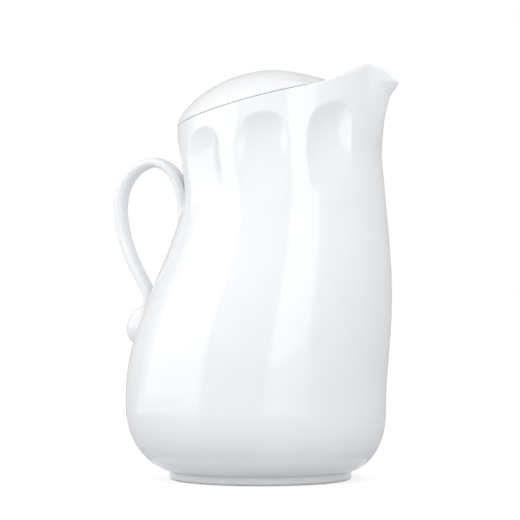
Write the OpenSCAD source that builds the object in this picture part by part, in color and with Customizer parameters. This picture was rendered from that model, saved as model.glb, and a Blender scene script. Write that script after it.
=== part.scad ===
// Hot milk jug with a lift-off lid, white glazed porcelain.
// Millimetres, +Z up, spout toward +X, origin at the centre of the foot on the table.

/* [Body] */
// Height of the lid seat above the table, on the axis of the foot
seat_h = 177.6; // [165:0.1:195]
// Radius of the belly at its widest
belly_r = 62.9; // [57:0.1:70]
// Height at which the belly reaches its full radius
belly_z = 38; // [30:1:46]
// Height of the straight band round the belly
belly_band = 6; // [2:1:12]
// Radius of the neck at its narrowest
neck_r = 48.8; // [44:0.1:52]
// Height of the narrowest part of the neck
neck_z = 140; // [130:1:150]
// Radius of the mouth at the lid seat
rim_r = 49.3; // [46:0.1:54]
// Thickness of the porcelain wall
wall = 3.8; // [3:0.1:5]
// Thickness of the floor
floor_t = 4.6; // [3.5:0.1:7]
// Rounding of the upper edges of the wall
rim_round = 1; // [0.5:0.1:1.4]

/* [Lean] */
// Shift of the belly toward the spout (below zero is toward the handle)
belly_lean = -2.4; // [-6:0.1:2]
// Shift of the neck toward the spout
neck_lean = 11.6; // [4:0.1:15]
// Height at which the neck leans furthest
neck_lean_z = 134; // [120:1:144]
// Shift of the mouth toward the spout
rim_lean = 9.7; // [4:0.1:14]
// Height above which the wall keeps the shift of the mouth
rim_lean_z = 158; // [148:1:164]

/* [Foot] */
// Outer radius of the foot ring
foot_r = 43.9; // [38:0.1:48]
// Height of the foot ring
foot_h = 4.2; // [3:0.1:7]
// Width of the foot ring
foot_w = 7; // [5:0.1:10]
// Rounding of the standing edges
foot_round = 1.6; // [0.5:0.1:2]
// Overhang of the belly over the foot ring
foot_step = 0.9; // [0.3:0.1:3]

/* [Lid seat] */
// Slope of the lid seat, up toward the spout
seat_slope = 13.5; // [8:0.5:18]
// Angle from the spout at which the wall starts to rise above the seat
lip_from = 50; // [40:1:60]
// Rise of the wall above the seat at the shoulders of the spout
lip_rise = 7.3; // [3:0.1:9]

/* [Spout] */
// Half angle of the beak at its tip
spout_half = 12; // [9:0.5:15]
// Half angle of the flare where it starts
spout_root_half = 28; // [20:1:36]
// Reach of the tip beyond the round of the mouth
spout_reach = 10.6; // [5:0.1:13]
// Dip of the tip below the shoulders
spout_drop = 12.1; // [8:0.1:15]
// Height at which the flare starts
spout_start = 158; // [146:1:166]

/* [Flutes] */
// Bays round the neck, the first of them taken by the spout
bays = 9; // [7:2:11]
// Angle of the bay taken by the spout
spout_bay = 48; // [40:1:56]
// Width of a flute as a share of its bay
flute_width_share = 0.8; // [0.5:0.05:0.9]
// Depth of a flute
flute_depth = 2.8; // [1:0.1:3.4]
// Plain band between the seat and the arch of a flute
flute_land = 6.5; // [3:0.5:9]
// Height of the arch at the top of a flute
flute_arch = 13; // [8:1:18]
// Length of a flute from its arch to where it fades out
flute_length = 44; // [32:1:56]

/* [Handle] */
// Height of the middle of the strap at the top of its loop
handle_top = 152.8; // [144:0.1:158]
// Height at which the strap runs back into the belly
handle_low = 83.2; // [80:0.2:92]
// Furthest distance of the middle of the strap from the wall
handle_reach = 34; // [28:0.1:40]
// Width of the strap at its upper root
strap_w = 15; // [10:0.5:18]
// Width of the strap at its lower root
strap_low_w = 11; // [8:0.5:15]
// Thickness of the strap
strap_t = 4.7; // [4:0.1:7]

/* [Button] */
// Height of the middle of the button under the strap
button_z = 73; // [60:0.5:76]
// Length of the button along the wall
button_l = 20.6; // [12:0.2:24]
// Width of the button
button_w = 16; // [10:0.5:20]
// How far the button stands out of the wall
button_proud = 9.1; // [3:0.1:10]

/* [Lid] */
// Height of the dome above the seat
lid_rise = 18.4; // [12:0.1:28]
// Thickness of the lid
lid_wall = 3.6; // [3:0.1:5]
// Height of the upright edge of the lid
lid_edge = 0.8; // [0.4:0.1:2]
// Distance of the highest point from the middle of the mouth, toward the handle
lid_apex_back = 17; // [0:0.5:24]
// Open gap for pouring between the lid and the wall behind the spout
pour_gap = 12.6; // [6:0.1:18]
// Running clearance of the lid inside the raised wall
lid_clear = 0.8; // [0.5:0.1:1.5]
// Height of the lid above its seat, the dark line round the jug
seat_gap = 0.35; // [0.3:0.05:0.6]

/* [Collar] */
// Depth of the locating collar below the seat
collar_depth = 11; // [6:0.5:16]
// Thickness of the collar
collar_t = 3; // [2:0.1:4]
// Clearance of the collar inside the neck
collar_clear = 0.9; // [0.6:0.1:2]
// Half angle left open in the collar for pouring
collar_open = 66; // [62:1:100]

/* [Hidden] */

glaze = [0.95, 0.95, 0.96];
bisque = [0.86, 0.83, 0.78];

// Joint line left between castings that are stuck together
film = 0.2;

// Foot and floor
crease_r = foot_r + foot_step;
floor_r = foot_r - foot_w;
floor_z = foot_h + floor_t;
under_r = floor_r - foot_step;
// Rise of the underside from the foot ring to its middle
under_rise = 1.1;

// Roundness of the lower belly: how soon it fills out, and how upright it starts
belly_fill = 2.6;
belly_start = 0.71;
// Above the belly the wall stays full for longer than an even curve would
neck_skew = 1.25;

// Lid seat
slope = tan(seat_slope);
// How the rim climbs to the shoulders of the spout, and how it dips to the tip
shoulder_power = 1.2;
dip_power = 1.5;

// Flare of the spout: a soft start low on the neck, mixed with a fast curl near the tip
tip_x = rim_lean + rim_r + spout_reach;
tip_z = plane_z(tip_x) + lip_rise - spout_drop;
flare_soft = 1.2;
flare_fast = 7;
flare_fast_share = 0.4;
// Narrowness of the flare seen from above, at its root and at its tip
beak_root_power = 2;
beak_tip_power = 1.3;
// Angle over which the ridge of the beak is rounded off
beak_blunt = 2;

// Flutes
bay_pitch = (360 - spout_bay) / (bays - 1);
flute_half = bay_pitch * flute_width_share / 2;
flute_foot_h = seat_h - flute_land - flute_length;
// Section of a flute: one half is round, one is a parabola
flute_power = 0.7;
// Squareness of its section and of its arch, 2 is an ellipse
flute_square = 2.6;

// Directions of the upright mesh lines: even steps along the arch of each flute, and
// closer together toward the middle of the spout
arch_steps = 7;
flute_sides = [for (i = [-arch_steps : 2 : arch_steps]) sin(90 * i / arch_steps)];
spout_sides = [-1, -0.75, -0.55, -0.35, -0.17, 0, 0.17, 0.35, 0.55, 0.75, 1];
spout_side_half = spout_bay * flute_width_share / 2;
turns = [for (k = [0 : bays - 1]) each k == 0
    ? [for (s = spout_sides) s * spout_side_half]
    : [for (s = flute_sides) bay_middle(k) + s * flute_half]];

// Level lines of the wall, outside and inside: round the belly, above it, in the neck
outer_levels = [8, 8, 10];
inner_levels = [6, 6, 7];
// Share of the height at which the level lines start to tilt toward the seat
tilt_share = 0.4;
// Crowding of the neck's level lines toward the arches
neck_crowd = 1.6;

function mix(a, b, t) = a + (b - a) * t;
function span(v, low, high) = min(max((v - low) / (high - low), 0), 1);
function ease(t) = t * t * (3 - 2 * t);
function flipped(list) = [for (i = [len(list) - 1 : -1 : 0]) list[i]];

// Angle away from the spout, either way round
function fold(phi) = phi > 180 ? 360 - phi : abs(phi);

// Radius of the round body at height z, a given depth inside its outer skin
function barrel_r(z, skin = 0) = z < belly_z
    ? let (low_z = skin > 0 ? floor_z : foot_h, low_r = skin > 0 ? floor_r : crease_r,
           t = 1 - span(z, low_z, belly_z))
      mix(low_r, belly_r - skin, pow(1 - pow(t, belly_fill), belly_start))
    : z < neck_z
    ? mix(belly_r, neck_r, ease(pow(span(z, belly_z + belly_band, neck_z), neck_skew))) - skin
    : mix(neck_r, rim_r, ease(span(z, neck_z, seat_h))) - skin;

// Shift of the body's middle toward the spout at height z
function lean(z) = z < belly_z
    ? belly_lean * (1 - pow(1 - span(z, foot_h, belly_z), 2))
    : z < neck_lean_z
    ? mix(belly_lean, neck_lean, ease(span(z, belly_z, neck_lean_z)))
    : mix(neck_lean, rim_lean, ease(span(z, neck_lean_z, rim_lean_z)));

// Height of the tilted plane of the lid seat
function plane_z(x) = seat_h + slope * x;

// Where a direction lies in its bay: 0 in the middle of the flute, 1 and more past its side
function bay(phi) = fold(phi) < spout_bay / 2 ? 0
    : min(1 + floor((fold(phi) - spout_bay / 2) / bay_pitch), (bays - 1) / 2);
function bay_middle(k) = k == 0 ? 0 : spout_bay / 2 + (k - 0.5) * bay_pitch;
function across(phi) = abs(fold(phi) - bay_middle(bay(phi))) / flute_half;

// Depth of the flutes: an arch at the top, a hollow section, fading out below
function flute(phi, z) =
    let (drop = rim_z(phi) - z - flute_land,
         above = max(1 - drop / flute_arch, 0),
         edge = min(pow(across(phi), flute_square) + pow(above, 2), 1),
         fade = 1 - ease(span(drop, flute_arch, flute_length)))
    bay(phi) == 0 ? 0 : flute_depth * pow(1 - edge, flute_power) * fade;

// Flare of the spout: wide and slight at its foot, a narrow beak at its tip
function beak(phi, half) =
    let (a = norm([fold(phi), beak_blunt]) - beak_blunt) max(1 - a / half, 0);
function flare(phi, z) =
    let (t = span(z, spout_start, tip_z), half = mix(spout_root_half, spout_half, t))
    spout_reach * mix(pow(t, flare_soft), pow(t, flare_fast), flare_fast_share)
        * pow(beak(phi, half), mix(beak_root_power, beak_tip_power, t));

// Radius and point of the body's skin, or of its inside with skin as the wall
function plain_r(phi, z, skin = 0) = barrel_r(z, skin) + flare(phi, z);
function skin_r(phi, z, skin = 0) = plain_r(phi, z, skin) - flute(phi, z);
function polar(r, phi, z) = [lean(z) + r * cos(phi), r * sin(phi), z];

// Rise of the wall above the seat plane: up to the shoulders, down again to the tip
function rise(phi) =
    let (t = span(lip_from - max(fold(phi), spout_half), 0, lip_from - spout_half))
    lip_rise * pow(t, shoulder_power) - spout_drop * pow(beak(phi, spout_half), dip_power);

// Height of the outer edge of the rim, settled in a few passes
function rim_z(phi, z = seat_h, passes = 4) = passes == 0 ? z
    : rim_z(phi, plane_z(lean(z) + plain_r(phi, z) * cos(phi)) + rise(phi), passes - 1);

// A point of the rim, a given depth inside its outer edge and below its top
function rim_point(phi, inset, below) =
    let (z = rim_z(phi) - below, r = plain_r(phi, z) - inset, x = lean(z) + r * cos(phi))
    [x, r * sin(phi), plane_z(x) + rise(phi) - below];

// Rings of points round the body
function disc_ring(r, z) = [for (phi = turns) [r * cos(phi), r * sin(phi), z]];
function flat_ring(z, skin) = [for (phi = turns) polar(barrel_r(z, skin), phi, z)];
function rim_ring(inset, below) = [for (phi = turns) rim_point(phi, inset, below)];

// Level at height h on the axis, tilting toward the seat above the belly
function level_ring(h, skin) = [for (phi = turns)
    let (tilt = ease(span(h, seat_h * tilt_share, flute_foot_h)),
         z = h + tilt * (rim_z(phi) - rise(phi) - seat_h))
    polar(skin_r(phi, z, skin), phi, z)];

// Along the arches of the flutes, a share t of the way down to their feet
function arch_ring(t, skin) = [for (phi = turns)
    let (arch = flute_arch * (1 - sqrt(1 - min(pow(across(phi), flute_square), 1))),
         drop = mix(arch, flute_length, t),
         settle = ease(span(drop, flute_arch, flute_length)),
         z = rim_z(phi) - settle * rise(phi) - drop - flute_land)
    polar(skin_r(phi, z, skin), phi, z)];

// The rings of the wall from bottom to top
function belly_rings(low, n, skin) = [for (i = [0 : n])
    flat_ring(mix(low, belly_z, 1 - cos(90 * i / n)), skin)];
function middle_rings(n, skin) = [for (i = [0 : n])
    level_ring(mix(belly_z + belly_band, flute_foot_h, i / n), skin)];
function neck_rings(n, skin) = [for (i = [n - 1 : -1 : 0]) arch_ring(pow(i / n, neck_crowd), skin)];
function wall_rings(low, levels, skin = 0) = concat(belly_rings(low, levels[0], skin),
    middle_rings(levels[1], skin), neck_rings(levels[2], skin));

// The two triangles of a net's cell, cut along its shorter diagonal
function cell(points, a, b, c, d) = norm(points[a] - points[c]) < norm(points[b] - points[d])
    ? [[a, b, c], [a, c, d]] : [[a, b, d], [b, c, d]];

// A closed solid through a stack of rings, with a middle point at each end
module lofted(rings, first, last) {
    n = len(rings[0]);
    m = len(rings);
    points = concat([for (ring = rings) each ring], [first, last]);
    sides = [for (i = [0 : m - 2], j = [0 : n - 1]) let (k = (j + 1) % n)
        each cell(points, i * n + j, i * n + n + j, i * n + n + k, i * n + k)];
    start = [for (j = [0 : n - 1]) [m * n, j, (j + 1) % n]];
    end = [for (j = [0 : n - 1]) [m * n + 1, (m - 1) * n + (j + 1) % n, (m - 1) * n + j]];
    polyhedron(points = points, faces = concat(start, sides, end), convexity = 6);
}

// Cast body: floor, belly, leaning fluted neck, lid seat and spout in one wall
module jug_body() {
    under = [for (share = [0.5, 1])
        disc_ring(under_r * share, foot_h + under_rise * (1 - share * share))];
    outside = concat(wall_rings(foot_h, outer_levels),
        [rim_ring(0, flute_land / 2), rim_ring(0, rim_round), rim_ring(rim_round, 0)]);
    inside = concat([rim_ring(wall - rim_round, 0), rim_ring(wall, rim_round)],
        flipped(wall_rings(floor_z, inner_levels, wall)));
    floor = [disc_ring(floor_r / 2, floor_z)];
    color(glaze) lofted(concat(under, outside, inside, floor),
        [0, 0, foot_h + under_rise], [0, 0, floor_z]);
}

// Standing ring under the belly, rounded at both lower edges
module foot_ring() {
    color(bisque) rotate_extrude($fn = 180) translate([foot_r - foot_w, 0]) {
        translate([0, foot_round]) square([foot_w, foot_h - foot_round]);
        translate([foot_round, 0]) square([foot_w - 2 * foot_round, foot_h]);
        for (x = [foot_round, foot_w - foot_round])
            translate([x, foot_round]) circle(foot_round, $fn = 48);
    }
}

// Outer skin of the back of the body, as x over y and z
function back_x(z, y = 0) =
    let (phi = 180 - asin(abs(y) / barrel_r(z)), r = skin_r(phi, z)) lean(z) - sqrt(r * r - y * y);

// A point moved out of the body onto its back
function seated(p) = [min(p.x, back_x(p.z, p.y) - film), p.y, p.z];

// Middle line of the strap, from its upper root over the loop to its lower root, as shares
// of the height between the roots and of the reach out of the wall
strap_up_shares = [0.43, 0.57, 0.72, 0.85, 0.97, 1.02, 0.96, 0.85, 0.71, 0.57, 0.42, 0.28,
    0.16, 0.08, 0];
strap_out_shares = [-0.07, -0.03, 0.03, 0.09, 0.21, 0.47, 0.76, 0.96, 1.03, 0.95, 0.77, 0.53,
    0.28, 0.11, 0.07];
strap_last = len(strap_up_shares) - 1;
strap_stations = [for (k = [0 : strap_last])
    let (z = mix(handle_low, handle_top, strap_up_shares[k]))
    [back_x(z) - handle_reach * strap_out_shares[k], 0, z]];
// Rings between two stations, and points in a ring
strap_steps = 3;
strap_sides = 14;
// Squareness of the strap's section, 2 is an ellipse
strap_square = 2.6;

// A station of the strap, carried on in a straight line past both ends
function strap_station(i) =
    i < 0 ? 2 * strap_stations[0] - strap_stations[1]
    : i > strap_last ? 2 * strap_stations[strap_last] - strap_stations[strap_last - 1]
    : strap_stations[i];

// Cubic B-spline over four stations
function spline(a, b, c, d, t) = let (u = 1 - t)
    (a * pow(u, 3) + b * (4 - 6 * t * t + 3 * pow(t, 3)) + c * (4 - 6 * u * u + 3 * pow(u, 3))
        + d * pow(t, 3)) / 6;
function strap_middle(u) =
    let (i = min(max(floor(u), 0), strap_last - 1))
    spline(strap_station(i - 1), strap_station(i), strap_station(i + 1), strap_station(i + 2), u - i);

function strap_ring(u) =
    let (step = 1 / strap_steps / 4,
         ahead = strap_middle(min(u + step, strap_last)) - strap_middle(max(u - step, 0)),
         along = ahead / norm(ahead), out = [along.z, 0, -along.x],
         half_w = mix(strap_w, strap_low_w, u / strap_last) / 2, power = 2 / strap_square)
    [for (j = [0 : strap_sides - 1]) let (a = 360 * j / strap_sides,
        wide = sign(sin(a)) * pow(abs(sin(a)), power) * half_w,
        thick = sign(cos(a)) * pow(abs(cos(a)), power) * strap_t / 2)
        seated(strap_middle(u) + thick * out + [0, wide, 0])];

// Middle of a ring of points
function centre(ring) = [for (axis = [0 : 2])
    [for (p = ring) p[axis]] * [for (p = ring) 1] / len(ring)];

// Ear-shaped strap handle, seated on the back wall at both roots
module handle() {
    rings = [for (i = [0 : strap_last * strap_steps]) strap_ring(i / strap_steps)];
    color(glaze) lofted(rings, centre(rings[0]), centre(rings[len(rings) - 1]));
}

// Half the stretch of wall over which its slope under the button is taken
button_probe = 1;
button_sides = 24;
button_levels = 7;
// Fullness of the button's dome, 1 is an ellipsoid
button_power = 0.8;

// Oval button on the wall below the strap
module handle_button() {
    foot = [back_x(button_z), 0, button_z];
    ahead = [back_x(button_z + button_probe) - back_x(button_z - button_probe), 0, 2 * button_probe];
    up = ahead / norm(ahead);
    out = [-up.z, 0, up.x];
    function at(share, a, height) = foot + up * (button_l / 2 * share * cos(a))
        + [0, button_w / 2 * share * sin(a), 0] + out * height;
    function on_wall(p) = [back_x(p.z, p.y) - film, p.y, p.z];
    sides = [for (j = [0 : button_sides - 1]) 360 * j / button_sides];
    base = [for (share = [1 / 3, 2 / 3, 1]) [for (a = sides) on_wall(at(share, a, 0))]];
    dome = [for (i = [1 : button_levels - 1])
        let (share = cos(90 * i / button_levels),
             height = button_proud * pow(sin(90 * i / button_levels), button_power))
        [for (a = sides) seated(at(share, a, height))]];
    color(glaze) lofted(concat(base, dome), on_wall(foot), at(0, 0, button_proud));
}

// Angle over which the lid's outline changes from inside the raised wall to flush with it
lid_tuck = 8;
// Squareness of the outline of the lid's front, 2 is an ellipse
lid_square = 2.6;
// Fullness of the dome toward the handle and toward the spout, one half is round
dome_back_power = 0.65;
dome_front_power = 1.2;
lid_apex_x = rim_lean - lid_apex_back;
inner_rise = lid_rise - lid_wall;
// Level lines of the dome, outside and inside
lid_levels = 9;
lid_inner_levels = 6;

// Outline of the lid round the middle of the mouth: flush with the wall at the back and
// sides, then inside the raised wall, then drawn back to leave the pouring gap
function lid_r(phi) =
    let (a = fold(phi), side = rim_r - wall - lid_clear, front = rim_r - wall - pour_gap,
         inside = pow(pow(abs(cos(a)) / front, lid_square) + pow(sin(a) / side, lid_square),
             -1 / lid_square),
         flush = plain_r(phi, rim_z(phi)))
    mix(a < 90 ? inside : side, flush, ease(span(a, lip_from, lip_from + lid_tuck)));

// Dome: the outline drawn in toward the highest point, steeper at the back
function dome_h(share, phi, height) = height
    * pow(1 - share * share, mix(dome_back_power, dome_front_power, (1 + cos(phi)) / 2));
function lid_point(phi, share, inset, height, lift) =
    let (r = lid_r(phi) - inset, x = mix(lid_apex_x, rim_lean + r * cos(phi), share))
    [x, share * r * sin(phi), plane_z(x) + seat_gap + lift + dome_h(share, phi, height)];
function lid_ring(share, inset, height, lift) = [for (phi = turns)
    lid_point(phi, share, inset, height, lift)];

// Domed lid, hollow below
module lid_dome() {
    outer_rise = lid_rise - lid_edge;
    inside = [for (i = [1 : lid_inner_levels])
        lid_ring(sin(90 * i / lid_inner_levels), lid_wall, inner_rise, 0)];
    outside = [for (i = [0 : lid_levels - 1])
        lid_ring(cos(90 * i / lid_levels), 0, outer_rise, lid_edge)];
    color(glaze) lofted(concat(inside, [lid_ring(1, 0, 0, 0)], outside),
        lid_point(0, 0, lid_wall, inner_rise, 0), lid_point(0, 0, 0, outer_rise, lid_edge));
}

// Height of the lid's hollow over a point of the mouth, where its outline is round
function hollow_z(x, y) =
    let (r = rim_r - lid_wall, q = [x - lid_apex_x, y], d = [lid_apex_back, 0],
         k = r * r - d * d,
         share = min((sqrt(pow(q * d, 2) + k * (q * q)) - q * d) / k, 1),
         e = q - share * d)
    plane_z(x) + seat_gap + dome_h(share, atan2(e.y, e.x), inner_rise);

// Steps round the collar
collar_steps = 36;

// Locating collar under the lid, open toward the spout
module lid_collar() {
    outer = min(neck_r, rim_r) - wall - flute_depth - collar_clear;
    function foot_point(x, y) = [x, y, plane_z(x) + seat_gap - collar_depth];
    function head_point(x, y) = [x, y, hollow_z(x, y) - film];
    function section(phi) = let (low_in = outer - collar_t, c = cos(phi), s = sin(phi))
        [foot_point(rim_lean + outer * c, outer * s), head_point(rim_lean + outer * c, outer * s),
         head_point(rim_lean + low_in * c, low_in * s), foot_point(rim_lean + low_in * c, low_in * s)];
    sections = [for (i = [0 : collar_steps])
        section(mix(collar_open, 360 - collar_open, i / collar_steps))];
    n = len(sections[0]);
    points = [for (s = sections) each s];
    sides = [for (i = [0 : collar_steps - 1], j = [0 : n - 1]) let (k = (j + 1) % n)
        each cell(points, i * n + j, i * n + k, i * n + n + k, i * n + n + j)];
    start = [for (j = [n - 1 : -1 : 0]) j];
    end = [for (j = [0 : n - 1]) collar_steps * n + j];
    color(glaze) polyhedron(points = points, faces = concat([start], sides, [end]), convexity = 4);
}

jug_body();
foot_ring();
handle();
handle_button();
lid_dome();
lid_collar();
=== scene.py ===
"""Dresses the packed hot milk jug in smooth glazed porcelain, on a plain pale floor.

Metres, +Z up, spout toward +X. Every smooth piece follows the curves of the solid that it stands
for: the leaning pear of the wall, its flutes, its beak, the slanted seat and the lid. The flutes
are cut a little rounder than in the solids, and the edges are softer.
"""

from math import cos, hypot, pi, radians, sin, tan
from typing import NamedTuple

import bmesh
import bpy
import numpy as np
from bpy.props import FloatProperty, FloatVectorProperty, IntProperty, PointerProperty
from bpy.types import Operator, Panel, PropertyGroup
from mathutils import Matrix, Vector


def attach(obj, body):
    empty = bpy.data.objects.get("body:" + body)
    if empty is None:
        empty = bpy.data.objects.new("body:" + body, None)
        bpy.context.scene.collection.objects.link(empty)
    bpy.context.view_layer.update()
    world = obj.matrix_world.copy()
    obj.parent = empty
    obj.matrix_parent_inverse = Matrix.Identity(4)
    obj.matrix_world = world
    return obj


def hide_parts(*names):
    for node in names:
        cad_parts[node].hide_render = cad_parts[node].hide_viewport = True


bl_info = {
    "name": "Hot milk jug with lid",
    "version": (1, 0, 0),
    "blender": (4, 5, 0),
    "location": "View3D > Sidebar > Milk jug",
    "description": "Glazed porcelain milk jug with a lift-off lid",
    "category": "Object",
}

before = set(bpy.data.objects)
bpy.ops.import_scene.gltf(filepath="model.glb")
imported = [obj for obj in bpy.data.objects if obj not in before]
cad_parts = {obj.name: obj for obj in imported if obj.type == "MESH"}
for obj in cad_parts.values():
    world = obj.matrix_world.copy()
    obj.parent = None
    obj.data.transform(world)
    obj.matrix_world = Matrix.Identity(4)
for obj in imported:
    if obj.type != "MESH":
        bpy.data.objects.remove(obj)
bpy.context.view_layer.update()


# Sizes and colours


def length(name, description, millimetres):
    return FloatProperty(
        name=name, description=description, default=millimetres / 1000, unit="LENGTH", precision=4
    )


def angle(name, description, degrees):
    return FloatProperty(
        name=name, description=description, default=radians(degrees), subtype="ANGLE"
    )


def share(name, description, value):
    return FloatProperty(name=name, description=description, default=value, subtype="FACTOR")


def number(name, description, value):
    return FloatProperty(name=name, description=description, default=value)


def count(name, description, value):
    return IntProperty(name=name, description=description, default=value, min=1)


def colour(name, description, rgb):
    return FloatVectorProperty(
        name=name, description=description, default=rgb, subtype="COLOR", size=3, min=0, max=1
    )


class WallSizes(PropertyGroup):
    """Profile and lean of the cast body"""

    seat_h: length("Seat height", "Height of the lid seat on the axis of the foot", 177.6)
    belly_r: length("Belly radius", "Radius of the belly at its widest", 62.85)
    belly_z: length("Belly height", "Height at which the belly is full", 38)
    belly_band: length("Belly band", "Height of the straight band round the belly", 6)
    neck_r: length("Neck radius", "Radius of the neck at its narrowest", 48.8)
    neck_z: length("Neck height", "Height of the narrowest part of the neck", 140)
    rim_r: length("Mouth radius", "Radius of the mouth at the lid seat", 49.3)
    wall: length("Wall", "Thickness of the porcelain wall", 3.8)
    floor_t: length("Floor", "Thickness of the floor", 4.6)
    rim_round: length("Rim rounding", "Rounding of the rim at the lid seat", 0.5)
    lip_round: length("Lip rounding", "Rounding of the rim at the spout", 1.85)
    belly_lean: length("Belly lean", "Shift of the belly toward the spout", -2.4)
    neck_lean: length("Neck lean", "Shift of the neck toward the spout", 11.6)
    neck_lean_z: length("Neck lean height", "Height at which the neck leans furthest", 134)
    rim_lean: length("Mouth lean", "Shift of the mouth toward the spout", 9.7)
    rim_lean_z: length("Mouth lean height", "Height above which the lean is kept", 158)
    belly_fill: number("Belly fill", "How soon the lower belly fills out", 2.6)
    belly_start: number("Belly start", "How upright the lower belly starts", 0.71)
    neck_skew: number("Neck skew", "How long the wall stays full above the belly", 1.25)
    seat_slope: angle("Seat slope", "Slope of the lid seat, up toward the spout", 13.5)


class FootSizes(PropertyGroup):
    """Foot ring under the belly"""

    radius: length("Foot radius", "Outer radius of the foot ring", 43.9)
    height: length("Foot height", "Height of the foot ring", 4.2)
    width: length("Foot width", "Width of the foot ring", 7)
    edge: length("Foot edge", "Rounding of the standing edges", 1.6)
    step: length("Foot step", "Overhang of the belly over the foot ring", 0.9)
    under_rise: length("Underside rise", "Rise of the underside to its middle", 1.1)
    bare: length("Bare height", "Height up to which the foot is left unglazed", 1)


class SpoutSizes(PropertyGroup):
    """Raised lip and beak of the spout"""

    lip_from: angle("Lip start", "Angle from the spout at which the wall starts to rise", 50)
    lip_rise: length("Lip rise", "Rise of the wall at the shoulders of the spout", 7.6)
    half: angle("Beak half angle", "Half angle of the beak at its tip", 12)
    root_half: angle("Flare half angle", "Half angle of the flare where it starts", 28)
    reach: length("Reach", "Reach of the tip beyond the round of the mouth", 10.6)
    drop: length("Drop", "Dip of the tip below the shoulders", 12.1)
    start: length("Flare start", "Height at which the flare starts", 158)
    blunt: angle("Blunting", "Angle over which the ridge of the beak is rounded off", 2)
    edge: share("Edge softness", "How softly the beak runs out into the wall", 0.25)
    shoulder: angle("Shoulder softness", "Angle over which the shoulders are rounded off", 4)


class FluteSizes(PropertyGroup):
    """Arched flutes round the neck"""

    bays: count("Bays", "Bays round the neck, the first taken by the spout", 9)
    spout_bay: angle("Spout bay", "Angle of the bay taken by the spout", 48)
    width_share: share("Width share", "Width of a flute as a share of its bay", 0.72)
    depth: length("Depth", "Depth of a flute", 3.5)
    inside: share("Inside", "Depth of a flute inside as a share of its depth outside", 0.8)
    land: length("Land", "Plain band between the seat and the arch of a flute", 6.5)
    lower: length("Lower", "How much lower the arches lie next to the spout", 5)
    lower_from: angle("Lower from", "Angle from the spout where the arches begin to lie lower", 110)
    arch: length("Arch", "Height of the arch at the top of a flute", 13)
    length_down: length("Length", "Length of a flute from its arch to its end", 44)
    fullness: number("Fullness", "Section of a flute: one half is round, one is a parabola", 1.0)
    square: number("Squareness", "Squareness of a flute and of its arch, 2 is an ellipse", 2.6)
    softness: share("Softness", "How softly the edge of a flute is rounded over", 0.06)


class HandleSizes(PropertyGroup):
    """Ear-shaped strap handle and the button under it"""

    top: length("Top", "Height of the strap at the top of its loop", 152.8)
    low: length("Low", "Height at which the strap runs back into the belly", 83.2)
    reach: length("Reach", "Furthest distance of the strap from the wall", 33.97)
    width: length("Upper width", "Width of the strap at its upper root", 15)
    low_width: length("Lower width", "Width of the strap at its lower root", 11)
    thickness: length("Thickness", "Thickness of the strap", 4.7)
    fillet: length("Fillet", "Radius of the slip joint round the roots", 2.2)
    button_z: length("Button height", "Height of the middle of the button", 73)
    button_l: length("Button length", "Length of the button along the wall", 20.6)
    button_w: length("Button width", "Width of the button", 16)
    button_proud: length("Button proud", "How far the button stands out", 9.1)


class LidSizes(PropertyGroup):
    """Domed lid with its locating collar"""

    rise: length("Rise", "Height of the dome above the seat", 18.4)
    wall: length("Wall", "Thickness of the lid", 3.6)
    edge: length("Edge", "Height of the upright edge of the lid", 0.8)
    apex_back: length("Apex", "Distance of the highest point toward the handle", 17)
    pour_gap: length("Pouring gap", "Gap between the lid and the wall behind the spout", 12.6)
    clear: length("Clearance", "Running clearance of the lid in the raised wall", 0.8)
    gap: length("Seat gap", "Height of the lid above its seat", 0.15)
    tuck: angle("Tuck", "Angle over which the edge tucks inside the raised wall", 8)
    tuck_fade: angle("Tuck fade", "How fast the tuck spreads out up the dome", 90)
    collar_depth: length("Collar depth", "Depth of the collar below the seat", 11)
    collar_t: length("Collar thickness", "Thickness of the collar", 3)
    collar_clear: length("Collar clearance", "Clearance of the collar in the neck", 0.9)
    collar_open: angle("Collar opening", "Half angle left open for pouring", 66)


class FinishSettings(PropertyGroup):
    """Glaze and bare porcelain"""

    glaze: colour("Glaze", "Colour of the white glaze", (0.877, 0.885, 0.897))
    # Colour of glaze pooling, also used as painted shade in the flutes, at the joints, on the foot and
    # under the belly and lid
    pooled_and_shaded: colour("Pooled glaze", "Colour of the glaze where it lies thick", (0.79, 0.81, 0.83))
    roughness: share("Glaze roughness", "Roughness of the glaze", 0.07)
    glaze_ior: number("Glaze index", "Refractive index of the glaze", 1.58)
    ripple: length("Glaze ripple", "Height of the slow waves in the glaze at full strength", 0.3)
    peel: length("Orange peel", "Height of the fine orange peel at full strength", 0.01)
    bisque: colour("Bare porcelain", "Colour of the unglazed porcelain", (0.87, 0.85, 0.82))
    stain: share("Stain", "Brightness that a stain leaves the bare porcelain", 0.8)
    bare_ior: number("Bare index", "Refractive index of the bare porcelain", 1.45)
    grain: length("Grain", "Height of the grain of the bare porcelain at full strength", 0.06)
    glaze_end: length("Glaze end", "Height over which the glaze runs out to the bare edge", 0.3)
    wander: length("Glaze wander", "How far the end of the glaze wanders in height", 0.6)


class StageSettings(PropertyGroup):
    """Camera, floor and the light from all round"""

    camera_turn: angle("Camera turn", "Angle of the camera from the side of the jug", 18)
    camera_far: length("Camera distance", "Distance of the camera from the axis", 1205)
    camera_h: length("Camera height", "Height of the camera above the floor", 101)
    camera_aim: length("Camera aim", "Height at which the camera looks", 105.3)
    camera_left: length("Camera shift", "How far left of the axis the camera looks", 0.34)
    lens: number("Lens", "Focal length in millimetres", 173.08)
    floor_wide: length("Floor width", "Width of the floor", 12000)
    floor: colour("Floor", "Colour of the floor", (0.525, 0.54, 0.56))
    floor_lift: number("Floor lift", "White added where the floor is seen directly", 0.6)
    fill: number("Fill", "Strength of the light from all round", 0.82)


GROUPS = {
    "jug_wall": WallSizes,
    "jug_foot": FootSizes,
    "jug_spout": SpoutSizes,
    "jug_flutes": FluteSizes,
    "jug_handle": HandleSizes,
    "jug_lid": LidSizes,
    "jug_finish": FinishSettings,
    "jug_stage": StageSettings,
}


# Curves of the wall

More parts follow.
